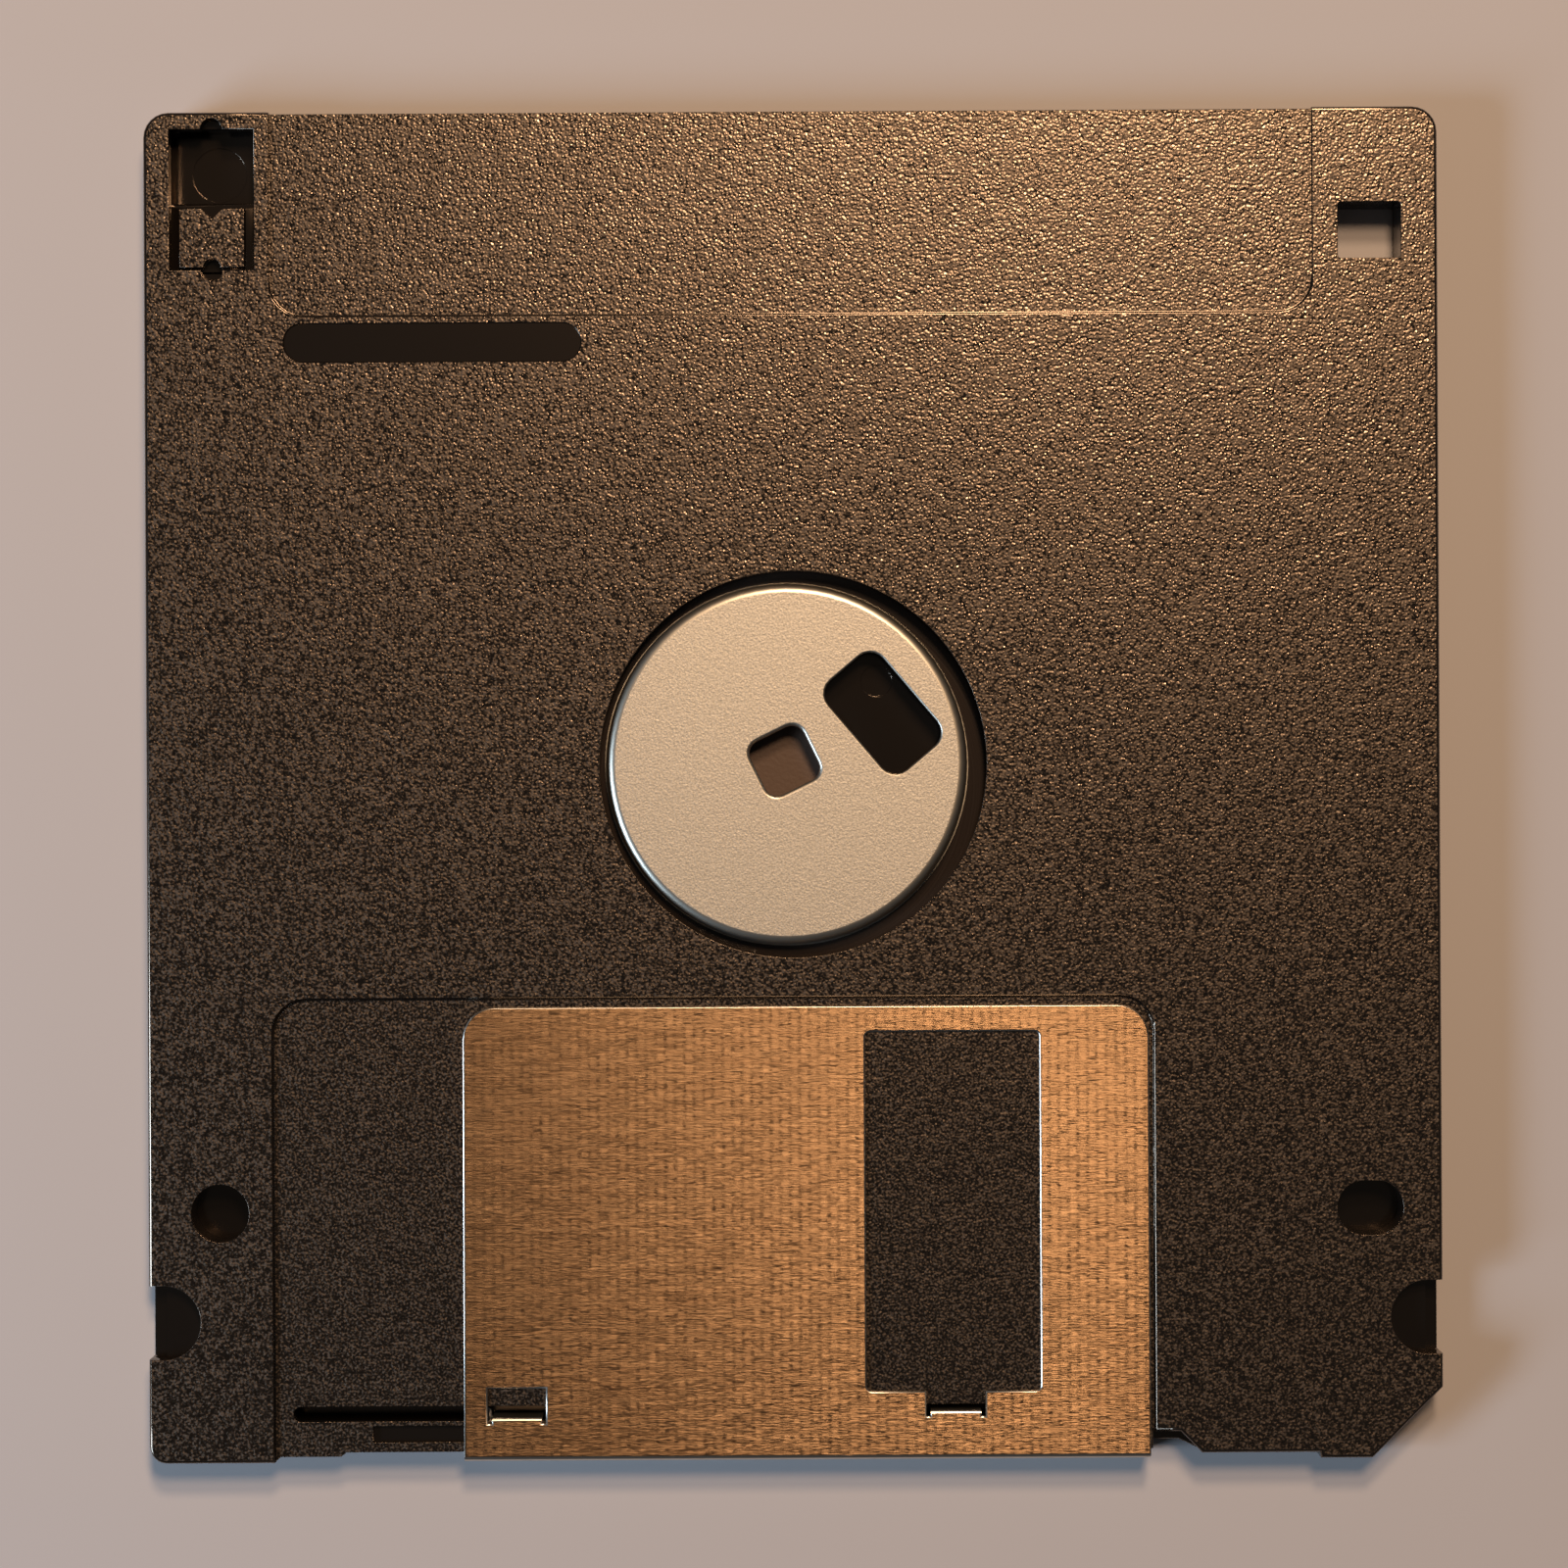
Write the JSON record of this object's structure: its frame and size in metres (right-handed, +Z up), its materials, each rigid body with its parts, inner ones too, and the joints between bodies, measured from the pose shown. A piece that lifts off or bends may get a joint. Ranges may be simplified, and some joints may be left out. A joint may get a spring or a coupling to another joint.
{
  "type": "floppy disk",
  "caption": "Rigid flexible-disk cartridge with a sliding metal shutter, a pressed metal hub, a write-protect tab and the disc and liners inside.",
  "frame": {"origin": "centre of the cartridge's footprint on the surface it lies on, label side down", "axes": "+X across the cartridge to the density hole's side, +Y to the label end, +Z up out of the hub side"},
  "size_m": [0.09, 0.094, 0.0033],
  "materials": {
    "case": "black moulded plastic with a fine sparkle texture",
    "shutter_steel": "sheet steel brushed from side to side",
    "spring_wire": "drawn steel wire",
    "tab": "black moulded plastic, textured pad",
    "hub_steel": "bead-blasted steel",
    "adhesive": "adhesive ring",
    "coated_film": "dark brown magnetic coating on film",
    "liner_fabric": "white non-woven fabric",
    "film": "thin polyester film",
    "wear_pad": "brown wear pad"
  },
  "bodies": {
    "case": {"front_shell": "case", "back_shell": "case", "upper_liner": "liner_fabric", "lower_liner": "liner_fabric", "liner_lifter": "film", "hub_wear_pad": "wear_pad", "shutter_spring": "spring_wire"},
    "disc": {"hub": "hub_steel", "hub_adhesive_ring": "adhesive", "magnetic_disc": "coated_film"},
    "shutter": {"shutter": "shutter_steel"},
    "write_protect_tab": {"write_protect_tab": "tab"}
  },
  "joints": [
    {"name": "disc_spin", "type": "hinge", "parent": "case", "child": "disc", "pos_m": [-0.00044, 0.00145, 0], "axis": [0, 0, 1], "continuous": true},
    {"name": "shutter_slide", "type": "slide", "parent": "case", "child": "shutter", "axis": [-1, 0, 0], "range_m": [0, 0.012], "stiffness_N_per_m": 40, "springref_m": -0.006, "deforming": ["shutter_spring"]},
    {"name": "write_protect_slide", "type": "slide", "parent": "case", "child": "write_protect_tab", "axis": [0, 1, 0], "range_m": [0, 0.0048]}
  ]
}
